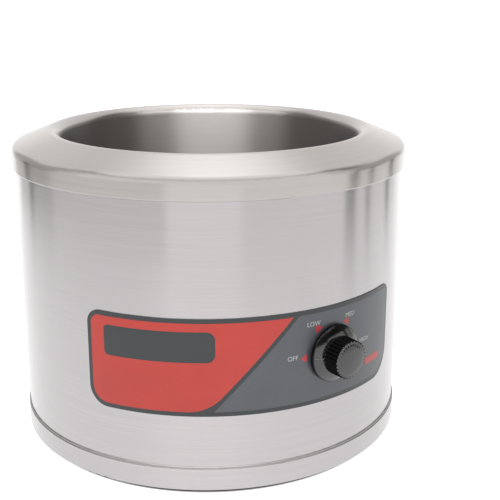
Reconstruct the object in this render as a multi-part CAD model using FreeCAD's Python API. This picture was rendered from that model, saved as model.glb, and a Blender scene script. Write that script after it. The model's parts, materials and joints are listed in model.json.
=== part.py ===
import FreeCAD
import Part
import math
import os

# Round countertop food warmer: one open well, a sloped collar, a curved control label and a thermostat knob.
# Millimetres. +Z is up, the counter is z = 0, the well's axis is the Z axis and the label faces -Y.

# Well, lip, collar and skirt, drawn from one sheet
well_radius = 108.0
well_depth = 187.0
well_sheet = 0.9
well_floor_corner = 20.0
lip_radius = 7.5
collar_slope_deg = 21.6
shoulder_radius = 5.5
skirt_drop = 24.6
skirt_overhang = 2.5
skirt_hem_radius = 1.5

# Shell round the well
wall_gap = 30.8
shell_sheet = 0.8

# Base pan
base_sheet = 0.8
base_band_height = 15.8
base_corner_radius = 2.5
dimple_rise = 8.0
dimple_radius = 16.0
dimple_slope_run = 9.0
vent_count = 8
vent_length = 26.0
vent_width = 4.0
vent_circle_radius = 58.0

# Push-in feet
foot_count = 4
foot_height = 4.0
foot_radius = 11.0
foot_taper = 1.5
foot_inset = 27.0
foot_stem_radius = 4.0
foot_head_radius = 5.5
foot_head_height = 4.0

# Heating stack under the well, and the stud that clamps the whole together
bay_height = 21.1
heater_thickness = 3.0
heater_margin = 3.0
heater_bore_radius = 12.0
heater_tab_inset = 19.0
pad_thickness = 6.0
plate_thickness = 1.2
plate_rim_height = 4.0
tab_window_margin = 3.0
stud_radius = 3.0
stud_tail = 1.0
stud_nut_across_flats = 10.0
stud_nut_thickness = 5.0
stud_washer_radius = 9.0
stud_washer_thickness = 1.2

# Blanket round the well
blanket_thickness = 15.0
blanket_height = 120.0
blanket_opening_margin = 6.0

# Spade terminals and inner leads
tab_width = 6.3
tab_thickness = 0.8
tab_length = 9.0
lead_radius = 1.4
lead_sides = 8
lead_lift = 8.0
lead_bend_radius = 12.0

# Control label on the shell
label_width = 234.4
label_height = 66.5
label_bottom = 57.7
label_thickness = 0.5
label_corner_top_left = 9.5
label_corner_bottom_left = 14.0
label_corner_top_right = 7.0
label_corner_bottom_right = 20.0

# Dial: where the knob's axis leaves the shell, measured along the label and up from its middle
dial_offset = 52.2
dial_rise = 0.55

# Thermostat
thermostat_width = 34.0
thermostat_height = 36.0
thermostat_depth = 17.0
thermostat_edge_radius = 3.0
thermostat_cup_radius = 11.0
thermostat_cup_depth = 2.5
thermostat_tab_spacing = 16.0
collar_radius = 5.0
collar_stand_out = 0.4
saddle_edge = 1.0
saddle_margin = 1.0
shaft_radius = 3.0
shaft_flat = 1.55
shaft_bearing_depth = 9.0
mount_screw_edge = 4.0
mount_screw_radius = 2.0
mount_screw_depth = 6.0
mount_screw_head_radius = 3.4
mount_screw_head_height = 1.6

# Feeler on the well's wall
bulb_radius = 3.0
bulb_length = 46.0
bulb_side_gap = 7.0
capillary_radius = 1.0
capillary_bend_radius = 5.0
capillary_rise = 12.0
clip_sheet = 0.6
clip_height = 14.0
clip_flange = 6.0

# Knob
knob_gap = 1.2
knob_skirt_radius = 19.5
knob_skirt_edge = 2.0
knob_skirt_rise = 3.4
knob_skirt_edge_cut = 0.6
knob_skirt_wall = 1.5
knob_recess = 1.0
knob_hub_radius = 7.0
knob_grip_radius = 13.2
knob_grip_taper = 0.2
knob_grip_length = 11.8
knob_grip_edge_cut = 0.6
knob_crown_rise = 1.6
knob_crown_share = 0.45
knob_web = 3.0
flute_count = 32
flute_depth = 1.0
flute_crest = 0.1
pointer_width = 1.0
pointer_height = 0.4
pointer_inset = 0.8
spring_sheet = 0.4
spring_width = 3.0
spring_margin = 1.0

# Terminal block and earth point on the base pan
block_offset_deg = 15.0
block_width = 30.0
block_depth = 20.0
block_height = 16.0
block_wall_gap = 8.0
block_poles = 3
block_pole_pitch = 8.5
block_screw_well_radius = 2.6
block_screw_well_depth = 5.0
block_edge_radius = 1.0
block_fixing_spacing = 17.0
pan_screw_radius = 1.8
pan_screw_depth = 7.0
pan_screw_head_radius = 3.2
pan_screw_head_height = 1.8
earth_spacing_deg = 31.0
earth_nut_across_flats = 7.0
earth_nut_thickness = 3.2
earth_lug_radius = 4.2
earth_lug_thickness = 1.0

# Cord gland at the back
gland_lift = 16.0
gland_thread_radius = 7.6
gland_bore_radius = 4.2
gland_hex_wall = 1.9
gland_hex_thickness = 4.0
gland_dome_radius = 8.8
gland_dome_length = 8.0
gland_dome_cut = 2.0
locknut_wall = 1.4
locknut_thickness = 3.0
gland_tail = 2.0

# Clearances
seat_gap = 0.3
skin_gap = 0.05
fit_gap = 0.15
running_gap = 0.05
hole_gap = 0.2

# Sheet bends tighter than this are cut straight across on their hidden face
tight_bend = 4.0

# Two points nearer than this are one
same_point = 1e-6

# Levels and radii that follow from the sizes above
UP = FreeCAD.Vector(0, 0, 1)
ORIGIN = FreeCAD.Vector(0, 0, 0)
well_outer_radius = well_radius + well_sheet
shell_inner_radius = well_outer_radius + wall_gap
shell_radius = shell_inner_radius + shell_sheet
skirt_radius = shell_radius + skirt_overhang
base_radius = shell_radius + seat_gap + base_sheet
pan_top = foot_height + base_sheet
band_top = foot_height + base_band_height
plate_bottom = pan_top + bay_height
pad_bottom = plate_bottom + plate_thickness
heater_bottom = pad_bottom + pad_thickness
floor_bottom = heater_bottom + heater_thickness
floor_top = floor_bottom + well_sheet
crown = floor_top + well_depth
slope = math.radians(collar_slope_deg)
lip_corner = crown - lip_radius + lip_radius * math.tan((math.pi / 2 + slope) / 2)
shoulder_corner = lip_corner - (skirt_radius - well_radius) * math.tan(slope)
heater_radius = well_radius - well_floor_corner - heater_margin
heater_tab_circle_radius = heater_radius - heater_tab_inset
foot_circle_radius = shell_radius - foot_inset
label_top = label_bottom + label_height
dial_azimuth_deg = math.degrees(dial_offset / shell_radius)
dial_height = (label_bottom + label_top) / 2 + dial_rise
label_outer_radius = shell_radius + skin_gap + label_thickness
saddle_half_width = thermostat_width / 2 + saddle_margin
saddle_radius = shell_inner_radius - skin_gap
thermostat_front = math.sqrt(saddle_radius ** 2 - saddle_half_width ** 2) - saddle_edge
thermostat_back = thermostat_front - thermostat_depth
thermostat_middle = (thermostat_front + thermostat_back) / 2
mount_screw_along = thermostat_height / 2 - mount_screw_edge
knob_rear = label_outer_radius + knob_gap
knob_skirt_top = knob_rear + knob_skirt_edge + knob_skirt_rise
knob_end = knob_skirt_top + knob_grip_length
knob_grip_end_radius = knob_grip_radius - knob_grip_taper
knob_crown_corner = knob_crown_share * knob_grip_end_radius
knob_crown_slope = math.atan2(knob_crown_rise, knob_grip_end_radius - knob_crown_corner)
knob_crown_radius = knob_crown_corner / math.tan(knob_crown_slope / 2)
flute_half_width = math.pi * knob_grip_end_radius / flute_count - flute_crest / 2
flute_radius = (flute_half_width ** 2 + flute_depth ** 2) / (2 * flute_depth)
bore_end = knob_end - knob_web
lead_level = pan_top + lead_lift
earth_nut_bottom = lead_level + earth_lug_thickness / 2
earth_nut_top = earth_nut_bottom + earth_nut_thickness
block_azimuth_deg = 180 - block_offset_deg
earth_azimuth_deg = block_azimuth_deg + earth_spacing_deg
block_outer = shell_inner_radius - block_wall_gap
block_inner = block_outer - block_depth
block_middle = block_outer - block_depth / 2
gland_height = band_top + gland_lift
gland_hex_across_flats = 2 * (gland_thread_radius + gland_hex_wall)
locknut_across_flats = 2 * (gland_thread_radius + locknut_wall)


def point(across, level):
    """A point of a section, at a distance from the axis and a level."""
    return FreeCAD.Vector(across, 0, level)


def rounded_outline(points, radii):
    """Closed wire through the points. Each corner is rounded by its radius, or cut straight if negative."""
    count = len(points)
    starts, ends, edges = [], [], []
    for i in range(count):
        before = (points[i - 1] - points[i]).normalize()
        after = (points[(i + 1) % count] - points[i]).normalize()
        half = before.getAngle(after) / 2
        reach = abs(radii[i]) / math.tan(half)
        starts.append(points[i] + before * reach)
        ends.append(points[i] + after * reach)
        if radii[i] > 0:
            middle = (before + after).normalize() * (radii[i] / math.sin(half) - radii[i])
            edges.append((i, Part.Arc(starts[i], points[i] + middle, ends[i]).toShape()))
        elif radii[i] < 0:
            edges.append((i, Part.makeLine(starts[i], ends[i])))
    for i in range(count):
        follow = starts[(i + 1) % count]
        if (follow - ends[i]).Length > same_point:
            edges.append((i + 0.5, Part.makeLine(ends[i], follow)))
    return Part.Wire([edge for _, edge in sorted(edges, key=lambda item: item[0])])


def sheet_outline(points, radii, thickness):
    """Closed wire of a bent sheet: the show face runs along the points, and the sheet lies to its left."""
    headings = [(b - a).normalize() for a, b in zip(points, points[1:])]
    sides = [FreeCAD.Vector(-h.z, 0, h.x) for h in headings]
    back, back_radii = [points[0] + sides[0] * thickness], [0]
    for i in range(1, len(points) - 1):
        mitre = sides[i - 1] + sides[i]
        back.append(points[i] + mitre * (thickness * 2 / mitre.Length ** 2))
        turns_left = headings[i - 1].x * headings[i].z - headings[i - 1].z * headings[i].x > 0
        growth = -abs(thickness) if turns_left == (thickness > 0) else abs(thickness)
        radius = max(radii[i] + growth, 0) if radii[i] else 0
        back_radii.append(-radius if radius < tight_bend else radius)
    back.append(points[-1] + sides[-1] * thickness)
    back_radii.append(0)
    return rounded_outline(points + back[::-1], radii + back_radii[::-1])


def turned(wire):
    """Solid of revolution of a section about the well's axis."""
    return Part.Face(wire).revolve(ORIGIN, UP, 360)


def tube_ring(inner, outer, bottom, top):
    """Plain ring about the Z axis."""
    section = Part.makePolygon([point(inner, bottom), point(outer, bottom), point(outer, top),
                                point(inner, top), point(inner, bottom)])
    return turned(section)


def rod(radius, bottom, top, across=0.0, along=0.0):
    """Upright cylinder between two levels."""
    return Part.makeCylinder(radius, top - bottom, FreeCAD.Vector(across, along, bottom), UP)


def hexagon(across_flats, bottom, top):
    """Upright hexagonal prism about the Z axis."""
    corner = across_flats / 2 / math.cos(math.pi / 6)
    corners = [FreeCAD.Vector(corner * math.cos(k * math.pi / 3), corner * math.sin(k * math.pi / 3), bottom)
               for k in range(6)]
    return Part.Face(Part.makePolygon(corners + corners[:1])).extrude(UP * (top - bottom))


def block(width, height, bottom, top, across=0.0, along=0.0):
    """Box centred on a point, between two levels."""
    corner = FreeCAD.Vector(across - width / 2, along - height / 2, bottom)
    return Part.makeBox(width, height, top - bottom, corner)


def side_frame(azimuth_deg, height):
    """Frame on the well's axis: x along the shell, y up, z outward. Azimuth 0 faces -Y, positive to +X."""
    turn = FreeCAD.Placement(FreeCAD.Vector(0, 0, height), FreeCAD.Rotation(UP, azimuth_deg))
    tip = FreeCAD.Placement(ORIGIN, FreeCAD.Rotation(FreeCAD.Vector(1, 0, 0), 90))
    return turn.multiply(tip)


def plan_frame(azimuth_deg):
    """Frame on the counter: x along the shell, y inward, z up, turned to an azimuth."""
    return FreeCAD.Placement(ORIGIN, FreeCAD.Rotation(UP, azimuth_deg))


def around(radius, azimuth_deg, level):
    """Point on a circle about the well's axis."""
    angle = math.radians(azimuth_deg)
    return FreeCAD.Vector(radius * math.sin(angle), -radius * math.cos(angle), level)


def placed(shape, frame):
    """Copy of a shape, moved into a frame."""
    moved = shape.copy()
    moved.Placement = frame.multiply(moved.Placement)
    return moved


def bent_wire(points, bend_radius):
    """Open path of straight runs joined by tangent arcs."""
    edges, last = [], points[0]
    for before, corner, after in zip(points, points[1:], points[2:]):
        back = (before - corner).normalize()
        ahead = (after - corner).normalize()
        half = back.getAngle(ahead) / 2
        reach = bend_radius / math.tan(half)
        inward = (back + ahead).normalize() * (bend_radius / math.sin(half) - bend_radius)
        edges.append(Part.makeLine(last, corner + back * reach))
        last = corner + ahead * reach
        edges.append(Part.Arc(corner + back * reach, corner + inward, last).toShape())
    edges.append(Part.makeLine(last, points[-1]))
    return Part.Wire(edges)


def swept(path, radius):
    """Wire or tube along a path, with a few flat sides."""
    first = path.OrderedEdges[0]
    heading = first.tangentAt(first.FirstParameter)
    start = path.OrderedVertexes[0].Point
    if (first.valueAt(first.FirstParameter) - start).Length > same_point:
        heading = first.tangentAt(first.LastParameter) * -1
    turn = FreeCAD.Rotation(UP, heading)
    angles = [2 * math.pi * k / lead_sides for k in range(lead_sides)]
    corners = [start + turn.multVec(FreeCAD.Vector(radius * math.cos(a), radius * math.sin(a), 0))
               for a in angles]
    return path.makePipeShell([Part.makePolygon(corners + corners[:1])], True, False)


def upright_edges(shape):
    """Edges of a box that run along its z direction."""
    return [edge for edge in shape.Edges if edge.BoundBox.ZLength > same_point]


dial = side_frame(dial_azimuth_deg, dial_height)


def dial_cutters(screw_hole_radius, near, far):
    """Cutters for the thermostat's collar and its two screws, between two distances from the axis."""
    cutters = [rod(collar_radius + hole_gap, near, far)]
    for side in (-1, 1):
        cutters.append(rod(screw_hole_radius, near, far, 0, side * mount_screw_along))
    return [placed(cutter, dial) for cutter in cutters]


def make_well_pot():
    show = [point(0, floor_top), point(well_radius, floor_top), point(well_radius, lip_corner),
            point(skirt_radius, shoulder_corner), point(skirt_radius, crown - skirt_drop),
            point(shell_radius + seat_gap, crown - skirt_drop)]
    radii = [0, well_floor_corner, lip_radius, shoulder_radius, skirt_hem_radius, 0]
    return turned(sheet_outline(show, radii, -well_sheet))


def under_collar(across):
    """Level of the collar's underside, or of the shoulder's bend, round or cut, where that is further out."""
    collar = lip_corner - (across - well_radius) * math.tan(slope) - well_sheet / math.cos(slope)
    bend = shoulder_radius - well_sheet
    middle = skirt_radius - shoulder_radius
    bend_start = middle + bend * math.sin(slope)
    if across <= bend_start:
        return collar
    middle_level = lip_corner - (middle - well_radius) * math.tan(slope) - shoulder_radius / math.cos(slope)
    if bend < tight_bend:
        left_of_cut = (middle + bend - across) / (middle + bend - bend_start)
        return middle_level + bend * math.cos(slope) * left_of_cut
    return middle_level + math.sqrt(bend ** 2 - (across - middle) ** 2)


def make_body_shell():
    bottom = foot_height + base_corner_radius
    shell = tube_ring(shell_inner_radius, shell_radius, bottom, under_collar(shell_radius) - seat_gap)
    gland_hole = rod(gland_thread_radius + hole_gap, well_outer_radius, skirt_radius)
    holes = dial_cutters(mount_screw_radius + hole_gap, thermostat_front, knob_rear)
    return shell.cut(holes + [placed(gland_hole, side_frame(180, gland_height))])


def make_base_pan():
    dimple_bottom = foot_height + dimple_rise
    show = [point(stud_radius + hole_gap, dimple_bottom), point(dimple_radius, dimple_bottom),
            point(dimple_radius + dimple_slope_run, foot_height), point(base_radius, foot_height),
            point(base_radius, band_top)]
    radii = [0, 0, 0, base_corner_radius, 0]
    pan = turned(sheet_outline(show, radii, base_sheet))
    holes = [rod(foot_stem_radius, 0, band_top, x, y) for x, y in foot_places()]
    for k in range(vent_count):
        slot = block(vent_length - vent_width, vent_width, 0, band_top, 0, -vent_circle_radius)
        for end in (-1, 1):
            slot = slot.fuse(rod(vent_width / 2, 0, band_top, end * (vent_length - vent_width) / 2,
                                 -vent_circle_radius))
        holes.append(placed(slot, plan_frame((k + 0.5) * 360 / vent_count)))
    for side in (-1, 1):
        hole = rod(pan_screw_radius + hole_gap, 0, band_top, side * block_fixing_spacing / 2,
                   -block_middle)
        holes.append(placed(hole, plan_frame(block_azimuth_deg)))
    earth_hole = rod(pan_screw_radius + hole_gap, 0, band_top, 0, -block_middle)
    holes.append(placed(earth_hole, plan_frame(earth_azimuth_deg)))
    return pan.cut(holes)


def foot_places():
    """Centres of the feet on the base pan."""
    angles = [math.radians(360 * (k + 0.5) / foot_count) for k in range(foot_count)]
    return [(foot_circle_radius * math.sin(a), -foot_circle_radius * math.cos(a)) for a in angles]


def make_foot(x, y):
    neck = foot_stem_radius - fit_gap
    section = [point(0, 0), point(foot_radius - foot_taper, 0), point(foot_radius, foot_height),
               point(neck, foot_height), point(neck, pan_top + running_gap),
               point(foot_head_radius, pan_top + running_gap),
               point(neck, pan_top + foot_head_height), point(0, pan_top + foot_head_height)]
    return placed(turned(Part.makePolygon(section + section[:1])),
                  FreeCAD.Placement(FreeCAD.Vector(x, y, 0), FreeCAD.Rotation()))


def make_tie_stud():
    nut_bottom = foot_height + dimple_rise - stud_washer_thickness - stud_nut_thickness
    return rod(stud_radius, nut_bottom - stud_tail, floor_bottom)


def stud_nut(top):
    """Hexagon nut on the stud, hung from a level."""
    return hexagon(stud_nut_across_flats, top - stud_nut_thickness, top).cut(
        rod(stud_radius + running_gap, top - stud_nut_thickness, top))


def make_tie_washer():
    top = foot_height + dimple_rise
    return tube_ring(stud_radius + fit_gap, stud_washer_radius, top - stud_washer_thickness, top)


def heater_tab_frames():
    """Frames of the element's two terminals: one in line with the thermostat, one with the terminal block."""
    return [(plan_frame(dial_azimuth_deg), -thermostat_tab_spacing / 2), (plan_frame(block_azimuth_deg), 0.0)]


def make_heater_plate():
    return tube_ring(heater_bore_radius, heater_radius, heater_bottom, floor_bottom)


def make_heater_tabs():
    tabs = [placed(block(tab_width, tab_thickness, lead_level - tab_width / 2, heater_bottom, across,
                         -heater_tab_circle_radius), frame) for frame, across in heater_tab_frames()]
    return Part.makeCompound(tabs)


def tab_windows():
    """Cutters that let the element's terminals through the pad and the plate below it."""
    return [placed(block(tab_width + 2 * tab_window_margin, tab_thickness + 2 * tab_window_margin, pan_top,
                         heater_bottom, across, -heater_tab_circle_radius), frame)
            for frame, across in heater_tab_frames()]


def make_insulation_disc():
    return tube_ring(stud_radius + seat_gap, heater_radius, pad_bottom, heater_bottom).cut(tab_windows())


def make_pressure_plate():
    show = [point(stud_radius + hole_gap, plate_bottom), point(heater_radius, plate_bottom),
            point(heater_radius, plate_bottom - plate_rim_height)]
    plate = turned(sheet_outline(show, [0, 0, 0], plate_thickness))
    return plate.cut(tab_windows())


def make_insulation_blanket():
    inner = well_outer_radius + seat_gap
    bottom = floor_top + well_floor_corner
    wrap = tube_ring(inner, inner + blanket_thickness, bottom, bottom + blanket_height)
    left = -thermostat_width / 2 - blanket_opening_margin
    right = thermostat_width / 2 + bulb_side_gap + 2 * bulb_radius + clip_flange + blanket_opening_margin
    opening = block(right - left, shell_radius, 0, crown, (left + right) / 2, -shell_radius / 2)
    return wrap.cut(placed(opening, plan_frame(dial_azimuth_deg)))


def make_control_label():
    half_angle = math.degrees(label_width / 2 / shell_radius)
    under = shell_radius + skin_gap
    section = [point(under, label_bottom), point(label_outer_radius, label_bottom),
               point(label_outer_radius, label_top), point(under, label_top)]
    label = Part.Face(Part.makePolygon(section + section[:1])).revolve(ORIGIN, UP, 2 * half_angle)
    label = placed(label, plan_frame(-90 - half_angle))
    corners = [(-1, label_top, 1, label_corner_top_left), (-1, label_bottom, -1, label_corner_bottom_left),
               (1, label_top, 1, label_corner_top_right), (1, label_bottom, -1, label_corner_bottom_right)]
    for side, level, lift, radius in corners:
        azimuth_deg = side * (half_angle - math.degrees(math.asin(radius / label_outer_radius)))
        waste = block(2 * radius, 2 * radius, shell_inner_radius / 2, knob_rear, side * radius, lift * radius)
        waste = waste.cut(rod(radius, shell_inner_radius / 2, knob_rear))
        label = label.cut(placed(waste, side_frame(azimuth_deg, level - lift * radius)))
    return label.cut(dial_cutters(mount_screw_head_radius + hole_gap, thermostat_front, knob_rear))


def make_thermostat_saddle():
    height = thermostat_height + 2 * saddle_margin
    saddle = block(2 * saddle_half_width, height, thermostat_front, shell_radius)
    saddle = placed(saddle, dial).common(rod(saddle_radius, 0, crown))
    return saddle.cut(dial_cutters(mount_screw_radius + hole_gap, thermostat_back, shell_radius))


def make_thermostat_body():
    case = block(thermostat_width, thermostat_height, thermostat_back, thermostat_front)
    case = case.makeFillet(thermostat_edge_radius, upright_edges(case))
    case = case.fuse(rod(thermostat_cup_radius, thermostat_back - thermostat_cup_depth, thermostat_back))
    case = case.fuse(rod(collar_radius, thermostat_front, label_outer_radius + collar_stand_out))
    holes = [rod(shaft_radius + running_gap, thermostat_front - shaft_bearing_depth - seat_gap, knob_rear)]
    screw_hole_end = thermostat_front - mount_screw_depth - seat_gap
    for side in (-1, 1):
        holes.append(rod(mount_screw_radius + running_gap, screw_hole_end, thermostat_front, 0,
                         side * mount_screw_along))
    return placed(case.cut(holes).removeSplitter(), dial)


def make_thermostat_screws():
    screws = []
    head_top = shell_radius + mount_screw_head_height
    for side in (-1, 1):
        along = side * mount_screw_along
        shank = rod(mount_screw_radius, thermostat_front - mount_screw_depth, head_top, 0, along)
        head = rod(mount_screw_head_radius, shell_radius, head_top, 0, along)
        screws.append(placed(shank.fuse(head), dial))
    return Part.makeCompound(screws)


def thermostat_tab_across():
    """Places of the two thermostat terminals along its lower face."""
    return [-thermostat_tab_spacing / 2, thermostat_tab_spacing / 2]


def make_thermostat_tabs():
    tabs = []
    for across in thermostat_tab_across():
        tab = block(tab_width, tab_length, thermostat_middle - tab_thickness / 2,
                    thermostat_middle + tab_thickness / 2, across, -thermostat_height / 2 - tab_length / 2)
        tabs.append(placed(tab, dial))
    return Part.makeCompound(tabs)


def make_thermostat_shaft():
    tip = bore_end - seat_gap
    shaft = rod(shaft_radius, thermostat_front - shaft_bearing_depth, tip)
    flat = block(2 * shaft_radius, shaft_radius, knob_rear, tip, 0, shaft_flat + shaft_radius / 2)
    return placed(shaft.cut(flat), dial)


def make_control_knob():
    edge_top = knob_rear + knob_skirt_edge
    inner_wall = knob_skirt_radius - knob_skirt_wall
    recess_end = knob_rear + knob_recess
    skirt_run = knob_skirt_radius - knob_grip_radius
    section = [point(0, knob_rear), point(knob_hub_radius, knob_rear), point(knob_hub_radius, recess_end),
               point(inner_wall, recess_end), point(inner_wall, knob_rear),
               point(knob_skirt_radius, knob_rear), point(knob_skirt_radius, edge_top),
               point(knob_grip_radius, knob_skirt_top), point(knob_grip_end_radius, knob_end),
               point(knob_crown_corner, knob_end + knob_crown_rise), point(0, knob_end + knob_crown_rise)]
    corners = [0, 0, 0, 0, 0, 0, -knob_skirt_edge_cut, 0, -knob_grip_edge_cut, knob_crown_radius, 0]
    knob = turned(rounded_outline(section, corners))
    draft = math.atan2(knob_grip_taper, knob_grip_length)
    out = knob_grip_radius + flute_radius - flute_depth
    flutes = []
    for k in range(flute_count):
        flute = Part.makeCylinder(flute_radius, 2 * knob_grip_length, point(out, knob_skirt_top),
                                  FreeCAD.Vector(-math.sin(draft), 0, math.cos(draft)))
        flutes.append(placed(flute, FreeCAD.Placement(ORIGIN, FreeCAD.Rotation(UP, 360 * k / flute_count))))
    above_skirt = rod(2 * knob_skirt_radius, knob_skirt_top, 2 * knob_end)
    knob = knob.cut([flute.common(above_skirt) for flute in flutes])
    ridge_end = knob_skirt_radius - pointer_inset
    ridge_foot = knob_skirt_top - (ridge_end - knob_grip_radius) * knob_skirt_rise / skirt_run
    ridge = [point(-knob_grip_radius, edge_top), point(-ridge_end, edge_top - knob_recess / 2),
             point(-ridge_end, ridge_foot + pointer_height),
             point(-knob_grip_radius, knob_skirt_top + pointer_height)]
    ridge = Part.Face(rounded_outline(ridge, [0, 0, 0, 0])).extrude(FreeCAD.Vector(0, pointer_width, 0))
    ridge.translate(FreeCAD.Vector(0, -pointer_width / 2, 0))
    bore = rod(shaft_radius + running_gap, knob_rear, bore_end)
    flat = shaft_flat + spring_sheet + 2 * running_gap
    bore = bore.cut(block(2 * knob_hub_radius, knob_hub_radius, knob_rear, bore_end, 0,
                          flat + knob_hub_radius / 2))
    return placed(knob.fuse(ridge).cut(bore), dial)


def make_knob_spring():
    near = shaft_flat + running_gap
    spring = block(spring_width, spring_sheet, knob_rear + spring_margin, bore_end - spring_margin, 0,
                   near + spring_sheet / 2)
    return placed(spring, dial)


def bulb_place():
    """Bulb's centre beside the thermostat: along the shell, and out from the axis so it lies on the wall."""
    across = thermostat_width / 2 + bulb_side_gap + bulb_radius
    reach = well_outer_radius + seat_gap + bulb_radius
    return across, math.sqrt(reach ** 2 - across ** 2)


def make_sensing_bulb():
    across, out = bulb_place()
    top = dial_height + thermostat_height / 2
    return placed(rod(bulb_radius, top - bulb_length, top, across, -out), plan_frame(dial_azimuth_deg))


def make_capillary_tube():
    across, out = bulb_place()
    top = thermostat_height / 2
    start = thermostat_width / 2 - thermostat_edge_radius - capillary_radius
    route = [FreeCAD.Vector(start, top, thermostat_middle),
             FreeCAD.Vector(start, top + capillary_rise, thermostat_middle),
             FreeCAD.Vector(across, top + capillary_rise, out), FreeCAD.Vector(across, top, out)]
    return placed(swept(bent_wire(route, capillary_bend_radius), capillary_radius), dial)


def make_bulb_clip():
    across, out = bulb_place()
    top = dial_height + thermostat_height / 2 - bulb_length / 2 + clip_height / 2
    bottom = top - clip_height
    inner = bulb_radius + running_gap
    wall = well_outer_radius + running_gap
    loop = rod(inner + clip_sheet, bottom, top, across, -out)
    reach_deg = math.degrees(math.asin((inner + clip_sheet + clip_flange) / wall))
    flange = tube_ring(wall, wall + clip_sheet, bottom, top)
    middle_deg = math.degrees(math.atan2(across, out))
    ends = [around(2 * wall, middle_deg + side * reach_deg, bottom) for side in (-1, 1)]
    wedge = Part.makePolygon([point(0, bottom)] + ends + [point(0, bottom)])
    flange = flange.common(Part.Face(wedge).extrude(UP * clip_height))
    clip = loop.fuse(flange).cut([rod(inner, bottom, top, across, -out), rod(wall, bottom, top)])
    return placed(clip, plan_frame(dial_azimuth_deg))


def make_terminal_block():
    body = block(block_width, block_depth, pan_top, pan_top + block_height, 0, -block_middle)
    body = body.makeFillet(block_edge_radius, upright_edges(body))
    top = pan_top + block_height
    wells = [rod(block_screw_well_radius, top - block_screw_well_depth, top,
                 (k - (block_poles - 1) / 2) * block_pole_pitch, -block_middle) for k in range(block_poles)]
    wells += [rod(pan_screw_radius + running_gap, pan_top, pan_top + pan_screw_depth + seat_gap,
                  side * block_fixing_spacing / 2, -block_middle) for side in (-1, 1)]
    return placed(body.cut(wells), plan_frame(block_azimuth_deg))


def pan_screw(top, across, along):
    """Screw put in from below the base pan, up to a level."""
    head_bottom = foot_height - pan_screw_head_height
    return rod(pan_screw_radius, head_bottom, top, across, along).fuse(
        rod(pan_screw_head_radius, head_bottom, foot_height, across, along))


def make_terminal_block_screws():
    top = pan_top + pan_screw_depth
    screws = [pan_screw(top, side * block_fixing_spacing / 2, -block_middle) for side in (-1, 1)]
    return Part.makeCompound([placed(screw, plan_frame(block_azimuth_deg)) for screw in screws])


def make_earth_screw():
    return placed(pan_screw(earth_nut_top + stud_tail, 0, -block_middle), plan_frame(earth_azimuth_deg))


def make_earth_nut():
    nut = hexagon(earth_nut_across_flats, earth_nut_bottom, earth_nut_top)
    nut = nut.cut(rod(pan_screw_radius + running_gap, earth_nut_bottom, earth_nut_top))
    nut.translate(FreeCAD.Vector(0, -block_middle, 0))
    return placed(nut, plan_frame(earth_azimuth_deg))


def block_side_reach(run_radius):
    """Degrees from the terminal block's middle to where a lead on a circle clears the block's side."""
    half = block_width / 2
    return math.degrees(math.asin((half + lead_radius * half / run_radius) / run_radius))


def make_live_lead():
    tab_end = -thermostat_height / 2 - tab_length
    end = dial.multVec(FreeCAD.Vector(thermostat_tab_across()[1], tab_end, thermostat_middle))
    reach = math.hypot(end.x, end.y)
    run_radius = math.sqrt(reach ** 2 - lead_bend_radius ** 2)
    end_azimuth = math.degrees(math.atan2(end.x, -end.y))
    bend_azimuth = end_azimuth + math.degrees(math.atan2(lead_bend_radius, run_radius))
    start_azimuth = block_azimuth_deg - block_side_reach(run_radius)
    bend_start = around(run_radius, bend_azimuth, lead_level)
    heading = FreeCAD.Vector(end.x - bend_start.x, end.y - bend_start.y, 0).normalize()
    eighth = math.cos(math.pi / 4) * lead_bend_radius
    bend_middle = bend_start + heading * eighth + UP * (lead_bend_radius - eighth)
    bend_end = FreeCAD.Vector(end.x, end.y, lead_level + lead_bend_radius)
    run = Part.Arc(around(run_radius, start_azimuth, lead_level),
                   around(run_radius, (start_azimuth + bend_azimuth) / 2, lead_level), bend_start).toShape()
    bend = Part.Arc(bend_start, bend_middle, bend_end).toShape()
    return swept(Part.Wire([run, bend, Part.makeLine(bend_end, end)]), lead_radius)


def make_load_lead():
    across = thermostat_tab_across()[0]
    level = lead_level - dial_height
    route = [FreeCAD.Vector(across, -thermostat_height / 2 - tab_length, thermostat_middle),
             FreeCAD.Vector(across, level, thermostat_middle),
             FreeCAD.Vector(across, level, heater_tab_circle_radius + tab_thickness / 2)]
    return placed(swept(bent_wire(route, lead_bend_radius), lead_radius), dial)


def make_neutral_lead():
    length = block_inner - heater_tab_circle_radius - tab_thickness / 2
    lead = rod(lead_radius, block_inner - length, block_inner)
    return placed(lead, side_frame(block_azimuth_deg, lead_level))


def make_earth_lead():
    start_azimuth = block_azimuth_deg + block_side_reach(block_middle)
    end_azimuth = earth_azimuth_deg - math.degrees(earth_lug_radius / block_middle)
    run = Part.Arc(around(block_middle, start_azimuth, lead_level),
                   around(block_middle, (start_azimuth + end_azimuth) / 2, lead_level),
                   around(block_middle, end_azimuth, lead_level)).toShape()
    lead = swept(Part.Wire([run]), lead_radius)
    lug = tube_ring(pan_screw_radius + fit_gap, earth_lug_radius + lead_radius,
                    earth_nut_bottom - earth_lug_thickness, earth_nut_bottom)
    nut_room = rod(earth_nut_across_flats, earth_nut_bottom, earth_nut_top)
    screw_place = around(block_middle, earth_azimuth_deg, 0)
    lug.translate(screw_place)
    nut_room.translate(screw_place)
    return lead.cut(nut_room).fuse(lug)


def make_cord_gland():
    hex_end = shell_radius + gland_hex_thickness
    dome_end = hex_end + gland_dome_length
    nut_face = locknut_face()
    section = [point(0, hex_end), point(gland_dome_radius, hex_end), point(gland_dome_radius, dome_end),
               point(0, dome_end)]
    dome = turned(rounded_outline(section, [0, 0, -gland_dome_cut, 0]))
    gland = hexagon(gland_hex_across_flats, shell_radius, hex_end).fuse(dome)
    tail_end = nut_face - locknut_thickness - gland_tail
    gland = gland.fuse(rod(gland_thread_radius, tail_end, shell_radius))
    return placed(gland.cut(rod(gland_bore_radius, tail_end, dome_end)), side_frame(180, gland_height))


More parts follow.
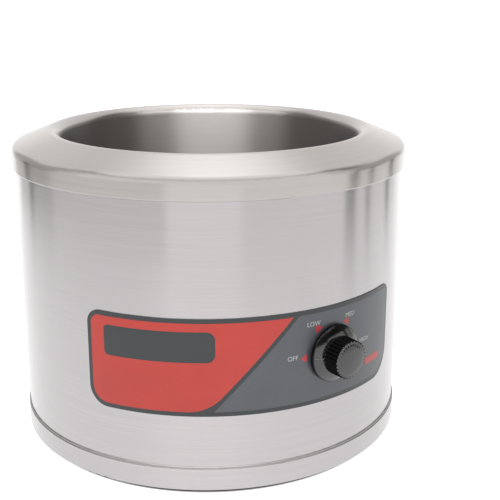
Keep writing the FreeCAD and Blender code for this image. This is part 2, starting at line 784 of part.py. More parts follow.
def locknut_face():
    """Distance from the axis at which the flat locknut meets the curved inside of the shell."""
    corner = locknut_across_flats / 2 / math.cos(math.pi / 6)
    return math.sqrt(shell_inner_radius ** 2 - corner ** 2) - running_gap


def make_gland_locknut():
    face = locknut_face()
    nut = hexagon(locknut_across_flats, face - locknut_thickness, face)
    nut = nut.cut(rod(gland_thread_radius + running_gap, face - locknut_thickness, face))
    return placed(nut, side_frame(180, gland_height))


nodes = {
    "well_pot": make_well_pot(),
    "body_shell": make_body_shell(),
    "base_pan": make_base_pan(),
    "tie_stud": make_tie_stud(),
    "tie_washer": make_tie_washer(),
    "tie_nut": stud_nut(foot_height + dimple_rise - stud_washer_thickness),
    "heater_plate": make_heater_plate(),
    "heater_tabs": make_heater_tabs(),
    "insulation_disc": make_insulation_disc(),
    "pressure_plate": make_pressure_plate(),
    "pressure_nut": stud_nut(plate_bottom),
    "insulation_blanket": make_insulation_blanket(),
    "control_label": make_control_label(),
    "thermostat_saddle": make_thermostat_saddle(),
    "thermostat_body": make_thermostat_body(),
    "thermostat_screws": make_thermostat_screws(),
    "thermostat_tabs": make_thermostat_tabs(),
    "thermostat_shaft": make_thermostat_shaft(),
    "control_knob": make_control_knob(),
    "knob_spring": make_knob_spring(),
    "sensing_bulb": make_sensing_bulb(),
    "capillary_tube": make_capillary_tube(),
    "bulb_clip": make_bulb_clip(),
    "terminal_block": make_terminal_block(),
    "terminal_block_screws": make_terminal_block_screws(),
    "earth_screw": make_earth_screw(),
    "earth_nut": make_earth_nut(),
    "live_lead": make_live_lead(),
    "load_lead": make_load_lead(),
    "neutral_lead": make_neutral_lead(),
    "earth_lead": make_earth_lead(),
    "cord_gland": make_cord_gland(),
    "gland_locknut": make_gland_locknut(),
}
foot_names = ["foot_front_right", "foot_rear_right", "foot_rear_left", "foot_front_left"]
for name, (x, y) in zip(foot_names, foot_places()):
    nodes[name] = make_foot(x, y)

os.makedirs("parts", exist_ok=True)
for name, shape in nodes.items():
    shape.exportStep("parts/" + name + ".step")
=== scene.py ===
import json
import math

import bmesh
import bpy
from mathutils import Matrix, Vector


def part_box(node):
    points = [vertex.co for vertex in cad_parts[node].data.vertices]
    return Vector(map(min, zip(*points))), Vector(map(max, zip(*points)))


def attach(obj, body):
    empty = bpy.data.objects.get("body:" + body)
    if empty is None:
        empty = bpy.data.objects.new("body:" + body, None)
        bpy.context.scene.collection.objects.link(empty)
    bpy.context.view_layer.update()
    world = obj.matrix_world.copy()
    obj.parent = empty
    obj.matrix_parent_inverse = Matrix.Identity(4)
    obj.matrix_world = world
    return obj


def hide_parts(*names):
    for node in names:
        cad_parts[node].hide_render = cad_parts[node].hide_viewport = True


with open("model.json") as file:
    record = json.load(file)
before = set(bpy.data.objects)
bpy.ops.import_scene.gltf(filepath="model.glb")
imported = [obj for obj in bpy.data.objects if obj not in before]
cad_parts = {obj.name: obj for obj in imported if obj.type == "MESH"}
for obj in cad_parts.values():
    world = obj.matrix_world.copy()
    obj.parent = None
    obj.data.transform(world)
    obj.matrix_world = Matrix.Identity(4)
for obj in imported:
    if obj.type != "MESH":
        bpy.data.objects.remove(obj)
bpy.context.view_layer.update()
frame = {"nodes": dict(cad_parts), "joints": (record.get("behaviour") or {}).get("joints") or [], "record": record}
nodes = frame["nodes"]
dial_joint = frame["joints"][0]

# Sizes in metres. Angles round the object start at -Y, the label's middle, and grow towards +X.
SHELL_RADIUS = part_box("body_shell")[1].x
LABEL_RADIUS = 0.14105
LABEL_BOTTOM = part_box("control_label")[0].z
LABEL_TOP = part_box("control_label")[1].z
LABEL_HALF_WIDTH = 0.1172

# Drawn well: wall, floor, rolled lip, sloped collar and turned-down skirt with its hem
WELL_RADIUS = 0.108
WELL_FLOOR = 0.037
WELL_SHEET = 0.0009
WELL_FLOOR_CORNER = 0.020
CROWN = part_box("well_pot")[1].z
LIP_CORNER = CROWN + 0.00353
LIP_ROUND = 0.0075
COLLAR_SLOPE_DEG = 21.6
SKIRT_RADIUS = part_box("well_pot")[1].x
SHOULDER_ROUND = 0.0055
SKIRT_BOTTOM = CROWN - 0.0246
HEM_DEPTH = 0.0022
HEM_ROUND = 0.0010
WELL_SEGMENTS = 256
WELL_STEP_DEG = 5.0
ON_AXIS = 0.00006
SHARP_DEG = 40.0

# Turned edge of the base band, drawn in towards the shell
BAND_TOP = 0.0198
BAND_EDGE_RADIUS = 0.1411
BAND_EDGE_RISE = 0.0016
BAND_EDGE_ROUND = 0.0002
BAND_EDGE_ROUGHNESS = 0.45
BAND_SHARP_DEG = 60.0

# Printed fields on the label. Across is measured along the shell from the label's middle.
BORDER = 0.003
INK_THICKNESS = 0.00006
DIVIDE_TOP = 0.0216
DIVIDE_SLOPE_DEG = 47.0
DIVIDE_WIDTH = 0.0028
DIVIDE_FILLET = 0.030
CORNER_TOP_LEFT = 0.0095
CORNER_BOTTOM_LEFT = 0.014
CORNER_TOP_RIGHT = 0.007
CORNER_BOTTOM_RIGHT = 0.020
NAME_PANEL = (-0.1041, -0.0298, 0.0948, 0.1155)
NAME_PANEL_LEFT_CORNER = 0.003
NAME_PANEL_RIGHT_CORNER = 0.0055
RED_BAR = (0.086, 0.1047, 0.0722, 0.0772)
RED_BAR_CORNER = 0.0008
BEND_STEP = 0.002
ROUND_STEP_DEG = 6.0
SMALL_STEP_DEG = 15.0

# Dial marks round the knob, clockwise from the off stop
DIAL_ACROSS = 0.0522
DIAL_HEIGHT = dial_joint["pos_m"][2]
MARK_RADIUS = 0.0208
MARK_LENGTH = 0.0046
MARK_WIDTH = 0.0062
WORD_HEIGHT = 0.0031
CAPITAL_SHARE = 0.7
WORD_LAYER = 1.5
DIAL_WORDS = [("OFF", 180, -0.0310, 0.0012), ("LOW", 123, -0.0158, 0.0225),
              ("MED", 57, 0.0154, 0.0228), ("HIGH", 0, 0.0316, 0.0005)]

# Knob, measured out from its rear edge
KNOB_REAR = 0.14225
KNOB_SKIRT_RADIUS = 0.0195
KNOB_SKIRT_EDGE = 0.0020
KNOB_SKIRT_TOP = 0.0054
KNOB_SKIRT_WALL = 0.0015
KNOB_RECESS = 0.0010
KNOB_EDGE_ROUND = 0.0006
KNOB_GRIP_RADIUS = 0.0132
KNOB_GRIP_TAPER = 0.0002
KNOB_END = 0.0172
KNOB_END_ROUND = 0.0006
KNOB_END_STEP_DEG = 12.0
KNOB_DOME_RISE = 0.0016
KNOB_DOME_RINGS = 8
FLUTE_COUNT = 32
FLUTE_DEPTH = 0.0010
FLUTE_RADIUS = 0.00125
FLUTE_STEPS = 12
GRIP_FADE = 0.0006
SKIRT_EDGE_FADE = 0.0003
GRIP_GLOSS = 0.10
SKIRT_GLOSS = 0.5
POINTER_WIDTH = 0.0010
POINTER_HEIGHT = 0.0004
POINTER_INSET = 0.0008
POINTER_ROUND = 0.0003
POINTER_STEP_DEG = 30.0

# Camera fitted to the photograph
CAMERA_PLACE = (-0.15843, -0.68623, 0.33312)
CAMERA_AHEAD = (0.26596, 0.96398)
CAMERA_PITCH_DEG = 16.2319
CAMERA_ROLL_DEG = 0.0819
CAMERA_LENS = 69.208
CAMERA_SENSOR = 36.0

# Light of the room, and soft panels in it. Each has its azimuth from straight behind the object, half width
# and softness of the sides, lowest and highest elevation and their softness, in degrees, and the added light.
ROOM_LIGHT = 0.07
ROOM_TINT = (1.0, 0.985, 0.97, 1.0)
STUDIO_PANELS = [
    (0, 62, 12, -30, 54, 3, 1.0),
    (-68, 14, 8, 18, 50, 6, 0.5),
    (0, 200, 1, 54, 110, 3, 1.42),
    (-1, 21, 5, 48, 80, 4, 0.85),
    (180, 31, 7, 14, 32, 4, 8.3),
    (104, 22, 8, 36, 54, 4, 0.5),
    (-104, 22, 8, 36, 54, 4, 0.5),
    (180, 64, 14, 10, 46, 5, 0.9),
]

# Grey boards round the object, seen only as reflections. Each has the azimuth of its middle and its half
# width in degrees, heights of the lower and upper edge and distance in metres, and brightness.
STUDIO_BOARDS = [
    (90, 42, 0.0, 0.22, 0.82, 1.10),
    (146, 14, 0.0, 0.13, 0.82, 1.35),
    (-104, 56, 0.0, 0.30, 0.82, 0.78),
    (180, 20, 0.0, 0.42, 0.82, 1.30),
    (61, 2.5, 0.0, 0.40, 0.80, 0.05),
    (83, 2.0, 0.0, 0.40, 0.80, 0.15),
    (97.5, 3.5, 0.0, 0.40, 0.80, 0.08),
    (-67, 3.0, 0.0, 0.40, 0.80, 0.08),
    (-80, 10.0, 0.0, 0.40, 0.81, 0.50),
    (135, 27, 0.20, 0.46, 0.81, 0.03),
    (147, 15, 0.13, 0.20, 0.81, 0.03),
    (180, 34, 0.36, 0.56, 0.50, 24.0),
    (180, 70, 0.36, 0.56, 0.51, 7.0),
    (180, 66, 0.20, 0.335, 0.26, 1.2),
    (95, 30, 0.225, 0.315, 0.26, 0.60),
    (-95, 30, 0.225, 0.315, 0.26, 0.60),
]
BOARD_STEP_DEG = 2.0
BOARD_TONES = ((0.010, 0.010, 0.010, 1.0), (0.014, 0.014, 0.014, 1.0))
BOARD_CLOUD_SCALE = 4.0
FLOOR_TONES = ((0.14, 0.14, 0.14, 1.0), (0.17, 0.17, 0.17, 1.0))
FLOOR_CLOUD_SCALE = 3.0
FLOOR_ROUGHNESS = 0.9
FLOOR_GLOSS = 0.1
FLOOR_GLOW = 1.17
# Radius and softness of the painted shade under the object, where the floor's glow is left out to stand in for a
# contact shadow
FLOOR_PAINTED_SHADE_RADIUS = 0.1354
FLOOR_PAINTED_SHADE_SOFT = 0.0015
FLOOR_HALF = 14.0
BACKDROP_DISTANCE = 12.0
BACKDROP_STEP_DEG = 5.0
BACKDROP_GLOW = 1.0

# Brushed sheet: scales of the scratches and of the wider streaks along x, y and the profile, and their shares
SCRATCH_SCALES = (14.0, 14.0, 2600.0)
STREAK_SCALES = (5.0, 5.0, 420.0)
SCRATCH_SHARE = 0.75
STREAK_SHARE = 0.25
SCRATCH_DEPTH = 0.00002
SCRATCH_STRENGTH = 0.25
SHEET_TONES = (0.96, 1.03)
SHEET_GLOSS = (0.92, 1.08)
BRUSH_STRETCH = 0.88
BRUSH_TURN = 0.25

# Inside the well, from just under the lip, the sheet is rougher and carries painted shade: its colour is darkened
# to stand in for the shade deep in the well
WELL_LOOK_START = WELL_RADIUS - 0.0002
WELL_LOOK_END = WELL_RADIUS + 0.0015
WELL_MOTTLE_LOW = 0.93

# Limits between which a soft random pattern is stretched to its full contrast
MOTTLE = (0.3, 0.7)
FINE_MOTTLE = (0.35, 0.65)
WIDE_MOTTLE = (0.25, 0.75)
WEAR_MOTTLE = (0.3, 0.75)

# Small metal parts, mouldings, print and fibre: scales of their patterns, tones and finish
METAL_SCALE = 900.0
METAL_TONES = (0.85, 1.08)
METAL_GLOSS = (0.8, 1.3)
WEAR_SCALE = 160.0
WEAR_TONES = (0.85, 1.2)
WEAR_GLOSS = (0.85, 1.2)
GRAIN_SCALE = 2500.0
GRAIN_DEPTH = 0.00001
GRAIN_STRENGTH = 0.3
PRINT_SCALE = 700.0
PRINT_CLOUD_SCALE = 45.0
PRINT_SHARE = 0.5
PRINT_TONES = (0.95, 1.05)
PRINT_GLOSS = (0.9, 1.1)
PRINT_ROUGHNESS = 0.32
PRINT_DEPTH = 0.000004
PRINT_STRENGTH = 0.1
FILM_IOR = 1.6
PLASTIC_IOR = 1.5
FIBRE_TONES = (0.7, 1.1)
FIBRE_DEPTH = 0.0006
FIBRE_STRENGTH = 0.6
FIBRE_ROUGHNESS = 0.95


def add_node(tree, kind, **settings):
    """New shader node, with its properties set by name."""
    node = tree.nodes.new(kind)
    for key, value in settings.items():
        setattr(node, key, value)
    return node


def feed(tree, socket, value):
    """Sets a socket to a constant, or links it to another node's output."""
    if isinstance(value, bpy.types.NodeSocket):
        tree.links.new(value, socket)
    else:
        socket.default_value = value


def maths(tree, operation, first, second=0.0):
    """Arithmetic on two values."""
    node = add_node(tree, "ShaderNodeMath", operation=operation)
    feed(tree, node.inputs[0], first)
    feed(tree, node.inputs[1], second)
    return node.outputs[0]


def ramp(tree, value, low, high, start=0.0, end=1.0):
    """Smooth change from start to end while a value goes from low to high."""
    node = add_node(tree, "ShaderNodeMapRange", interpolation_type="SMOOTHSTEP")
    for socket, given in zip(node.inputs, (value, low, high, start, end)):
        feed(tree, socket, given)
    return node.outputs[0]


def blend(tree, factor, first, second):
    """Mix of two colours."""
    node = add_node(tree, "ShaderNodeMix", data_type="RGBA")
    feed(tree, node.inputs["Factor"], factor)
    feed(tree, node.inputs[6], first)
    feed(tree, node.inputs[7], second)
    return node.outputs[2]


def noise(tree, vector, scale, detail=3.0):
    """Soft random pattern, about 0.5 on average."""
    node = add_node(tree, "ShaderNodeTexNoise")
    feed(tree, node.inputs["Vector"], vector)
    feed(tree, node.inputs["Scale"], scale)
    feed(tree, node.inputs["Detail"], detail)
    return node.outputs["Fac"]


def bump(tree, height, distance, strength):
    """Normal roughened by a height pattern."""
    node = add_node(tree, "ShaderNodeBump")
    feed(tree, node.inputs["Height"], height)
    feed(tree, node.inputs["Distance"], distance)
    feed(tree, node.inputs["Strength"], strength)
    return node.outputs["Normal"]


def new_material(name):
    """Empty node material with its tree, shader and object coordinates."""
    material = bpy.data.materials.new(name)
    material.use_nodes = True
    tree = material.node_tree
    shader = tree.nodes["Principled BSDF"]
    return material, tree, shader, add_node(tree, "ShaderNodeTexCoord").outputs["Object"]


def shades(colour, factors):
    """A colour made lighter or darker by each factor, with full opacity."""
    return [tuple(channel * factor for channel in colour) + (1.0,) for factor in factors]


def levels(value, factors):
    """A value times each factor."""
    return [value * factor for factor in factors]


def brushed_steel(name, colour, roughness, well_roughness=None, well_painted_shade=1.0):
    """Stainless sheet brushed round the Z axis, with fine scratches that run in circles."""
    material, tree, shader, place = new_material(name)
    parts = add_node(tree, "ShaderNodeSeparateXYZ")
    feed(tree, parts.inputs[0], place)
    x, y, z = parts.outputs
    squares = [maths(tree, "MULTIPLY", value, value) for value in (x, y)]
    radius = maths(tree, "SQRT", maths(tree, "ADD", *squares))
    along = maths(tree, "SUBTRACT", z, radius)
    scratch_place = add_node(tree, "ShaderNodeCombineXYZ")
    for socket, value, scale in zip(scratch_place.inputs, (x, y, along), SCRATCH_SCALES):
        feed(tree, socket, maths(tree, "MULTIPLY", value, scale))
    scratches = noise(tree, scratch_place.outputs[0], 1.0, 4.0)
    band_place = add_node(tree, "ShaderNodeCombineXYZ")
    for socket, value, scale in zip(band_place.inputs, (x, y, along), STREAK_SCALES):
        feed(tree, socket, maths(tree, "MULTIPLY", value, scale))
    bands = noise(tree, band_place.outputs[0], 1.0, 2.0)
    tone = maths(tree, "ADD", maths(tree, "MULTIPLY", scratches, SCRATCH_SHARE),
                 maths(tree, "MULTIPLY", bands, STREAK_SHARE))
    contrast = ramp(tree, tone, *MOTTLE)
    sheet = blend(tree, contrast, *shades(colour, SHEET_TONES))
    level = roughness
    # Inside the well the sheet is rougher, and its colour is darkened by well_painted_shade: painted shade for the
    # deep well
    if well_roughness:
        outside = ramp(tree, radius, WELL_LOOK_START, WELL_LOOK_END)
        level = ramp(tree, outside, 0.0, 1.0, well_roughness, roughness)
        painted_shade_sheet = blend(tree, contrast, *shades(colour, (WELL_MOTTLE_LOW * well_painted_shade, well_painted_shade)))
        sheet = blend(tree, outside, painted_shade_sheet, sheet)
    feed(tree, shader.inputs["Base Color"], sheet)
    feed(tree, shader.inputs["Roughness"],
         maths(tree, "MULTIPLY", level, ramp(tree, tone, *WIDE_MOTTLE, *SHEET_GLOSS)))
    feed(tree, shader.inputs["Normal"], bump(tree, scratches, SCRATCH_DEPTH, SCRATCH_STRENGTH))
    tangent = add_node(tree, "ShaderNodeTangent", direction_type="RADIAL", axis="Z")
    feed(tree, shader.inputs["Tangent"], tangent.outputs[0])
    shader.inputs["Metallic"].default_value = 1.0
    shader.inputs["Anisotropic"].default_value = BRUSH_STRETCH
    shader.inputs["Anisotropic Rotation"].default_value = BRUSH_TURN
    return material


def plain_metal(name, colour, roughness):
    """Small metal part with a faintly uneven, handled finish."""
    material, tree, shader, place = new_material(name)
    mottle = noise(tree, place, METAL_SCALE)
    feed(tree, shader.inputs["Base Color"],
         blend(tree, ramp(tree, mottle, *MOTTLE), *shades(colour, METAL_TONES)))
    feed(tree, shader.inputs["Roughness"], ramp(tree, mottle, *MOTTLE, *levels(roughness, METAL_GLOSS)))
    shader.inputs["Metallic"].default_value = 1.0
    return material


def moulded(name, colour, roughness, grain_scale=GRAIN_SCALE, grain_depth=GRAIN_DEPTH, ior=PLASTIC_IOR):
    """Plastic or rubber with a fine grain and slightly uneven gloss."""
    material, tree, shader, place = new_material(name)
    grain = noise(tree, place, grain_scale, 2.0)
    wear = noise(tree, place, WEAR_SCALE, 4.0)
    feed(tree, shader.inputs["Base Color"],
         blend(tree, ramp(tree, wear, *WEAR_MOTTLE), *shades(colour, WEAR_TONES)))
    feed(tree, shader.inputs["Roughness"], ramp(tree, wear, *MOTTLE, *levels(roughness, WEAR_GLOSS)))
    feed(tree, shader.inputs["Normal"], bump(tree, grain, grain_depth, GRAIN_STRENGTH))
    shader.inputs["IOR"].default_value = ior
    return material


def dull_grip(material):
    """Makes the knob's fluted grip and the edge of its skirt less glossy than its slope and its end face."""
    tree = material.node_tree
    along = add_node(tree, "ShaderNodeVectorMath", operation="DOT_PRODUCT")
    feed(tree, along.inputs[0], add_node(tree, "ShaderNodeTexCoord").outputs["Object"])
    feed(tree, along.inputs[1], -Vector(dial_joint["axis"]))
    out = maths(tree, "SUBTRACT", along.outputs["Value"], KNOB_REAR)
    grip = maths(tree, "MULTIPLY", ramp(tree, out, KNOB_SKIRT_TOP, KNOB_SKIRT_TOP + GRIP_FADE),
                 ramp(tree, out, KNOB_END - GRIP_FADE, KNOB_END, 1.0, 0.0))
    edge = ramp(tree, out, KNOB_SKIRT_EDGE, KNOB_SKIRT_EDGE + 2 * SKIRT_EDGE_FADE, 1.0, 0.0)
    dull = maths(tree, "MAXIMUM", grip, edge)
    feed(tree, tree.nodes["Principled BSDF"].inputs["Specular IOR Level"],
         ramp(tree, dull, 0.0, 1.0, SKIRT_GLOSS, GRIP_GLOSS))
    return material


def printed(name, colour):
    """Ink under a clear satin film, with a faint print mottle."""
    material, tree, shader, place = new_material(name)
    mottle = noise(tree, place, PRINT_SCALE, 4.0)
    cloud = noise(tree, place, PRINT_CLOUD_SCALE, 2.0)
    tone = maths(tree, "ADD", *[maths(tree, "MULTIPLY", value, PRINT_SHARE) for value in (mottle, cloud)])
    feed(tree, shader.inputs["Base Color"],
         blend(tree, ramp(tree, tone, *FINE_MOTTLE), *shades(colour, PRINT_TONES)))
    feed(tree, shader.inputs["Roughness"], ramp(tree, cloud, *MOTTLE, *levels(PRINT_ROUGHNESS, PRINT_GLOSS)))
    feed(tree, shader.inputs["Normal"], bump(tree, mottle, PRINT_DEPTH, PRINT_STRENGTH))
    shader.inputs["IOR"].default_value = FILM_IOR
    return material


def fibrous(name, colour, scale):
    """Matt woven or felted fibre."""
    material, tree, shader, place = new_material(name)
    fibres = noise(tree, place, scale, 6.0)
    feed(tree, shader.inputs["Base Color"],
         blend(tree, ramp(tree, fibres, *FINE_MOTTLE), *shades(colour, FIBRE_TONES)))
    feed(tree, shader.inputs["Normal"], bump(tree, fibres, FIBRE_DEPTH, FIBRE_STRENGTH))
    shader.inputs["Roughness"].default_value = FIBRE_ROUGHNESS
    return material


# Colours of the finishes
STEEL = (0.461, 0.443, 0.449)
WELL_STEEL = (0.467, 0.446, 0.436)
# Darkened steel of the band's turned edge: painted shade for the seam's shadow
SEAM_SHADE_STEEL = (0.300, 0.288, 0.290)
SLATE = (0.011, 0.015, 0.018)
FIELD_GREY = (0.057, 0.063, 0.074)
FIELD_RED = (0.375, 0.014, 0.005)
MARK_RED = (0.375, 0.010, 0.014)
WORD_WHITE = (0.36, 0.37, 0.38)
BLACK = (0.002, 0.002, 0.0022)

slot_materials = {
    # The well's inside is darkened to 0.51: painted shade for the deep well
    "stainless_well": brushed_steel("stainless_well", WELL_STEEL, 0.25, well_roughness=0.44, well_painted_shade=0.51),
    "stainless_shell": brushed_steel("stainless_shell", STEEL, 0.23),
    "stainless_base": brushed_steel("stainless_base", STEEL, 0.25),
    "label_film": printed("label_film", SLATE),
    "black_phenolic": dull_grip(moulded("black_phenolic", BLACK, 0.14, ior=1.8)),
    "foot_rubber": moulded("foot_rubber", (0.02, 0.02, 0.02), 0.75, 1800.0, 0.00003),
    "plated_steel": plain_metal("plated_steel", (0.62, 0.61, 0.58), 0.3),
    "aluminised_sheet": plain_metal("aluminised_sheet", (0.66, 0.66, 0.66), 0.42),
    "mica": moulded("mica", (0.42, 0.35, 0.24), 0.55, 1200.0, 0.00004),
    "brass_tab": plain_metal("brass_tab", (0.70, 0.52, 0.22), 0.3),
    "copper_tube": plain_metal("copper_tube", (0.72, 0.36, 0.22), 0.28),
    "glass_wool": fibrous("glass_wool", (0.72, 0.68, 0.54), 1500.0),
    "dark_moulding": moulded("dark_moulding", (0.02, 0.02, 0.022), 0.5),
    "lead_cover": fibrous("lead_cover", (0.70, 0.70, 0.66), 2500.0),
}
for subpart in frame["record"]["subparts"]:
    mesh = nodes[subpart["node"]].data
    mesh.materials.clear()
    mesh.materials.append(slot_materials[subpart["material_slot"]])


def new_piece(name, mesh, material, body):
    """Object in the scene that rides on a body and takes a slot's finish."""
    mesh.materials.clear()
    mesh.materials.append(material)
    piece = bpy.data.objects.new(name, mesh)
    bpy.context.scene.collection.objects.link(piece)
    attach(piece, body)
    return piece


def rounded(points, radii, step_deg=ROUND_STEP_DEG):
    """Corner points of a flat outline, each rounded by its radius."""
    outline = []
    count = len(points)
    for i in range(count):
        corner = Vector(points[i])
        before = (Vector(points[i - 1]) - corner).normalized()
        after = (Vector(points[(i + 1) % count]) - corner).normalized()
        if radii[i] == 0:
            outline.append(corner)
            continue
        half = before.angle(after) / 2
        reach = radii[i] / math.tan(half)
        centre = corner + (before + after).normalized() * (radii[i] / math.sin(half))
        start = corner + before * reach - centre
        turn = start.angle_signed(corner + after * reach - centre)
        steps = max(2, round(abs(math.degrees(turn)) / step_deg))
        for k in range(steps + 1):
            outline.append(centre + Matrix.Rotation(-turn * k / steps, 2) @ start)
    return outline


def offset(line, distance):
    """Line moved to its right-hand side by a distance, with mitred corners."""
    moved = []
    for i in range(len(line)):
        back = line[i] - line[i - 1] if i else line[1] - line[0]
        ahead = line[i + 1] - line[i] if i < len(line) - 1 else back
        sides = [Vector((run.y, -run.x)).normalized() for run in (back, ahead)]
        moved.append(line[i] + (sides[0] + sides[1]) * (distance / (1 + sides[0].dot(sides[1]))))
    return moved


def join_rings(shape, low, high, count):
    """Faces between two rings of points, either of which may be a single point."""
    for k in range(count):
        ahead = k + 1
        quad = [low[k % len(low)], low[ahead % len(low)], high[ahead % len(high)], high[k % len(high)]]
        shape.faces.new(list(dict.fromkeys(quad)))


def lathe(name, section, segments, sharp_deg):
    """Closed ring or dish turned round the Z axis from a closed section of radius and height."""
    shape = bmesh.new()
    rings = []
    for point in section:
        if point.x < ON_AXIS:
            rings.append([shape.verts.new((0, 0, point.y))])
            continue
        ring = []
        for k in range(segments):
            angle = 2 * math.pi * k / segments
            ring.append(shape.verts.new((point.x * math.cos(angle), point.x * math.sin(angle), point.y)))
        rings.append(ring)
    for low, high in zip(rings, rings[1:] + rings[:1]):
        if len(low) > 1 or len(high) > 1:
            join_rings(shape, low, high, segments)
    bmesh.ops.recalc_face_normals(shape, faces=shape.faces)
    mesh = bpy.data.meshes.new(name)
    shape.to_mesh(mesh)
    shape.free()
    mesh.shade_smooth()
    mesh.set_sharp_from_angle(angle=math.radians(sharp_deg))
    return mesh


def make_well():
    """Drawn sheet of the well, lip, collar and skirt."""
    shoulder = LIP_CORNER - (SKIRT_RADIUS - WELL_RADIUS) * math.tan(math.radians(COLLAR_SLOPE_DEG))
    corners = [(0, WELL_FLOOR), (WELL_RADIUS, WELL_FLOOR), (WELL_RADIUS, LIP_CORNER),
               (SKIRT_RADIUS, shoulder), (SKIRT_RADIUS, SKIRT_BOTTOM),
               (SKIRT_RADIUS - HEM_DEPTH, SKIRT_BOTTOM)]
    rounds = [0, WELL_FLOOR_CORNER, LIP_ROUND, SHOULDER_ROUND, HEM_ROUND, 0]
    face = rounded(corners, rounds, WELL_STEP_DEG)
    mesh = lathe("well_drawn", face + offset(face, WELL_SHEET)[::-1], WELL_SEGMENTS, SHARP_DEG)
    well = new_piece("well_drawn", mesh, slot_materials["stainless_well"], "warmer")
    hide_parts("well_pot")


def make_band_edge():
    """Ring where the base band turns in to the shell, in darkened steel: painted shade for the shadow in the seam.
    """
    top = BAND_TOP + BAND_EDGE_RISE
    section = rounded([(SHELL_RADIUS, BAND_TOP), (BAND_EDGE_RADIUS, BAND_TOP), (BAND_EDGE_RADIUS, top),
                       (SHELL_RADIUS, top)], [0, 0, BAND_EDGE_ROUND, 0], SMALL_STEP_DEG)
    mesh = lathe("base_band_edge", section, WELL_SEGMENTS, BAND_SHARP_DEG)
    # Darker than the shell's steel: painted shade standing in for the shadow in the seam
    steel = plain_metal("band_edge_seam_shade", SEAM_SHADE_STEEL, BAND_EDGE_ROUGHNESS)
    new_piece("base_band_edge", mesh, steel, "warmer")


make_well()
make_band_edge()


def bend_onto_label(vertices):
    """Moves flat points, x along the shell, y up and z out of the label, onto its round face."""
    for vertex in vertices:
        angle = vertex.co.x / SHELL_RADIUS
        radius = LABEL_RADIUS + vertex.co.z
        vertex.co = (radius * math.sin(angle), -radius * math.cos(angle), vertex.co.y)


def ink_patch(name, outline, material, layer):
    """Thin closed patch of ink with a flat outline, laid on the label's face."""
    shape = bmesh.new()
    low = layer * INK_THICKNESS
    face = shape.faces.new([shape.verts.new((p.x, p.y, low)) for p in outline])
    twice_area = sum(a.x * b.y - b.x * a.y for a, b in zip(outline, outline[1:] + outline[:1]))
    if twice_area < 0:
        bmesh.ops.reverse_faces(shape, faces=[face])
    left = min(p.x for p in outline)
    right = max(p.x for p in outline)
    for k in range(1, math.ceil((right - left) / BEND_STEP)):
        bmesh.ops.bisect_plane(shape, geom=shape.verts[:] + shape.edges[:] + shape.faces[:],
                               plane_co=(left + k * BEND_STEP, 0, 0), plane_no=(1, 0, 0))
    grown = bmesh.ops.extrude_face_region(shape, geom=shape.faces[:], use_keep_orig=True)
    for vertex in (item for item in grown["geom"] if isinstance(item, bmesh.types.BMVert)):
        vertex.co.z += INK_THICKNESS
    bmesh.ops.recalc_face_normals(shape, faces=shape.faces)
    bend_onto_label(shape.verts)
    mesh = bpy.data.meshes.new(name)
    shape.to_mesh(mesh)
    shape.free()
    return new_piece(name, mesh, material, "warmer")


def divide_across(height):
    """Where the slanted edge of the red field is at a height."""
    return DIVIDE_TOP - (LABEL_TOP - BORDER - height) / math.tan(math.radians(DIVIDE_SLOPE_DEG))


def make_label_fields():
    """Red and grey fields, the bare dark box and the red bar."""
    left = -LABEL_HALF_WIDTH + BORDER
    right = LABEL_HALF_WIDTH - BORDER
    bottom = LABEL_BOTTOM + BORDER
    top = LABEL_TOP - BORDER
    gap = DIVIDE_WIDTH / math.sin(math.radians(DIVIDE_SLOPE_DEG))
    red = rounded([(left, bottom), (divide_across(bottom), bottom), (divide_across(top), top), (left, top)],
                  [CORNER_BOTTOM_LEFT - BORDER, DIVIDE_FILLET, 0, CORNER_TOP_LEFT - BORDER])
    grey = rounded([(divide_across(bottom) + gap, bottom), (right, bottom), (right, top),
                    (divide_across(top) + gap, top)],
                   [0, CORNER_BOTTOM_RIGHT - BORDER, CORNER_TOP_RIGHT - BORDER, 0])
    ink_patch("label_red_field", red, printed("label_red", FIELD_RED), 0)
    ink_patch("label_grey_field", grey, printed("label_grey", FIELD_GREY), 0)
    x0, x1, y0, y1 = NAME_PANEL
    near, far = NAME_PANEL_LEFT_CORNER, NAME_PANEL_RIGHT_CORNER
    panel = rounded([(x0, y0), (x1, y0), (x1, y1), (x0, y1)], [near, far, far, near])
    ink_patch("label_name_panel", panel, printed("label_panel", SLATE), 1)
    x0, x1, y0, y1 = RED_BAR
    bar = rounded([(x0, y0), (x1, y0), (x1, y1), (x0, y1)], [RED_BAR_CORNER] * 4)
    ink_patch("label_red_bar", bar, printed("label_bar", FIELD_RED), 1)


